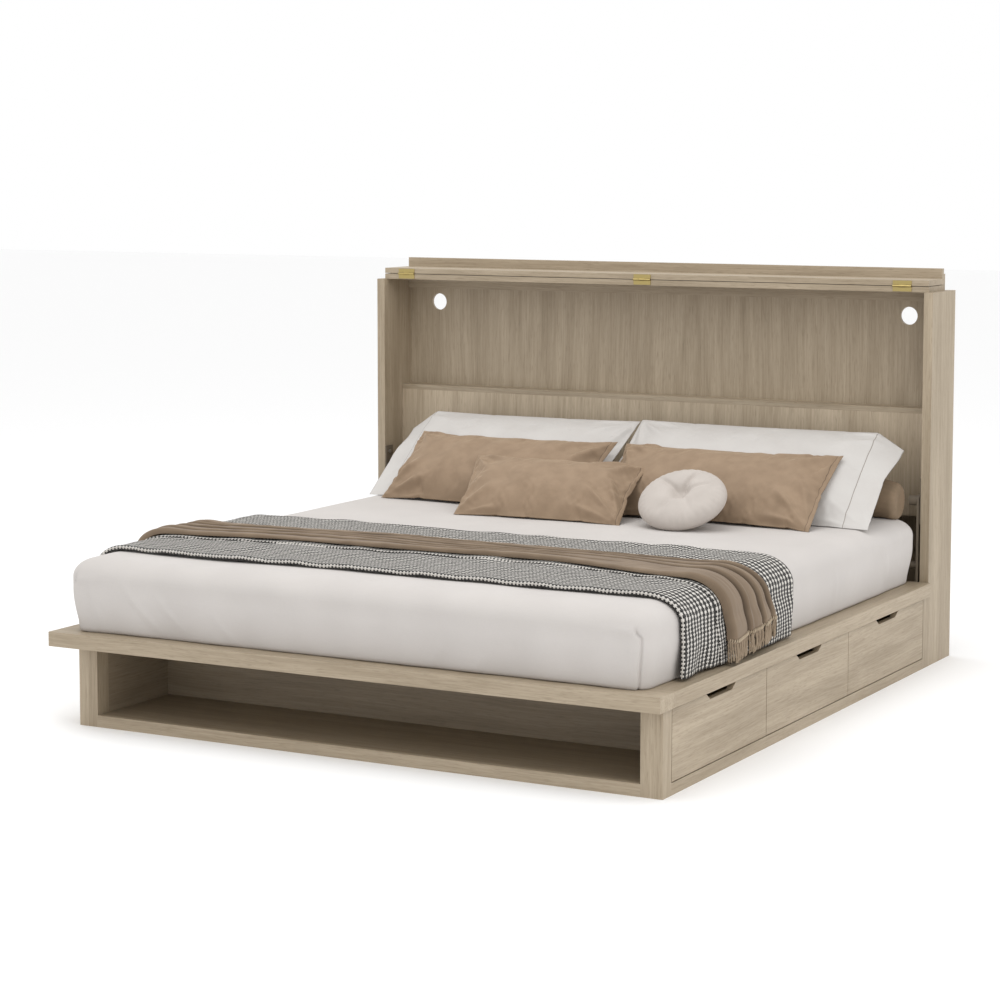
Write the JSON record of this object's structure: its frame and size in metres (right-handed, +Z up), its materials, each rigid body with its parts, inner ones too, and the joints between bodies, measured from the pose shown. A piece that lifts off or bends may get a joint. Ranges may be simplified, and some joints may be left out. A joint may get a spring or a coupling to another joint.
{
  "type": "wall bed",
  "caption": "King-size wall bed: cabinet headboard with a folding top, a deck that folds up to the wall, foot shelf and side drawers.",
  "frame": {"origin": "bottom centre of the whole bed's bounding box, on the floor", "axes": "+Y from the foot to the headboard and the wall, +X to the side that has the drawers, +Z up"},
  "size_m": [2.111, 2.302, 1.297],
  "materials": {
    "oak": "matte",
    "birch": "matte",
    "brass": "satin",
    "steel": "satin",
    "rubber": "matte",
    "felt": "matte",
    "mattress_ticking": "matte",
    "cover_cotton": "matte",
    "check_wool": "matte",
    "throw_knit": "matte",
    "tan_velvet": "matte",
    "sham_cotton": "matte",
    "cream_velvet": "matte"
  },
  "bodies": {
    "cabinet": {"base_back_panel": "oak", "base_side_left": "oak", "deck_centre_support": "birch", "deck_rubber_pads": "rubber", "drawer_bay_walls": "oak", "drawer_bottom_rail": "oak", "drawer_runners_fixed": "steel", "foot_posts": "oak", "head_post_right": "oak", "headboard_back_panel": "oak", "headboard_front_panel": "oak", "headboard_ledge": "oak", "headboard_panel_cleats": "oak", "headboard_side_left": "oak", "headboard_side_right": "oak", "headboard_stretcher": "oak", "headboard_top_board": "oak", "pivot_bracket_bolts": "steel", "pivot_brackets": "steel", "pivot_pins": "steel", "pivot_spring_cartridges": "steel", "shelf_back_panel": "oak", "shelf_floor": "oak", "shelf_front_rail": "oak", "shelf_liners": "oak", "top_felt_pads": "felt", "top_hinge_leaves_fixed": "brass", "top_hinge_pins": "brass", "top_hinge_screws_fixed": "brass", "top_leaf_fixed": "oak"},
    "folding_top": {"top_leaf_folding": "oak", "top_hinge_leaves_folding": "brass", "top_hinge_screws_folding": "brass"},
    "drawer_1": {"drawer_1_front": "oak", "drawer_1_box": "birch", "drawer_1_runners": "steel"},
    "drawer_2": {"drawer_2_front": "oak", "drawer_2_box": "birch", "drawer_2_runners": "steel"},
    "drawer_3": {"drawer_3_front": "oak", "drawer_3_box": "birch", "drawer_3_runners": "steel"},
    "deck": {"rim_front": "oak", "rim_sides": "oak", "rim_head": "oak", "slat_ledgers": "birch", "slats": "birch", "mattress": "mattress_ticking", "mattress_cover": "cover_cotton", "check_blanket": "check_wool", "fringed_throw": "throw_knit", "deck_arms": "steel", "deck_torque_bar": "steel", "bolster": "tan_velvet", "sham_left": "sham_cotton", "sham_right": "sham_cotton", "velvet_pillow_left": "tan_velvet", "velvet_pillow_right": "tan_velvet", "lumbar_pillow": "tan_velvet", "round_cushion": "cream_velvet"}
  },
  "joints": [
    {"name": "top_fold", "type": "hinge", "parent": "cabinet", "child": "folding_top", "pos_m": [0, 0.945, 1.2445], "axis": [1, 0, 0], "range_deg": [0, 180]},
    {"name": "drawer_1_slide", "type": "slide", "parent": "cabinet", "child": "drawer_1", "axis": [1, 0, 0], "range_m": [0, 0.38]},
    {"name": "drawer_2_slide", "type": "slide", "parent": "cabinet", "child": "drawer_2", "axis": [1, 0, 0], "range_m": [0, 0.38]},
    {"name": "drawer_3_slide", "type": "slide", "parent": "cabinet", "child": "drawer_3", "axis": [1, 0, 0], "range_m": [0, 0.38]},
    {"name": "deck_fold", "type": "hinge", "parent": "cabinet", "child": "deck", "pos_m": [0, 0.954, 0.544], "axis": [1, 0, 0], "range_deg": [-90, 0], "deforming": ["bolster", "sham_left", "sham_right", "velvet_pillow_left", "velvet_pillow_right", "lumbar_pillow", "round_cushion"]}
  ]
}
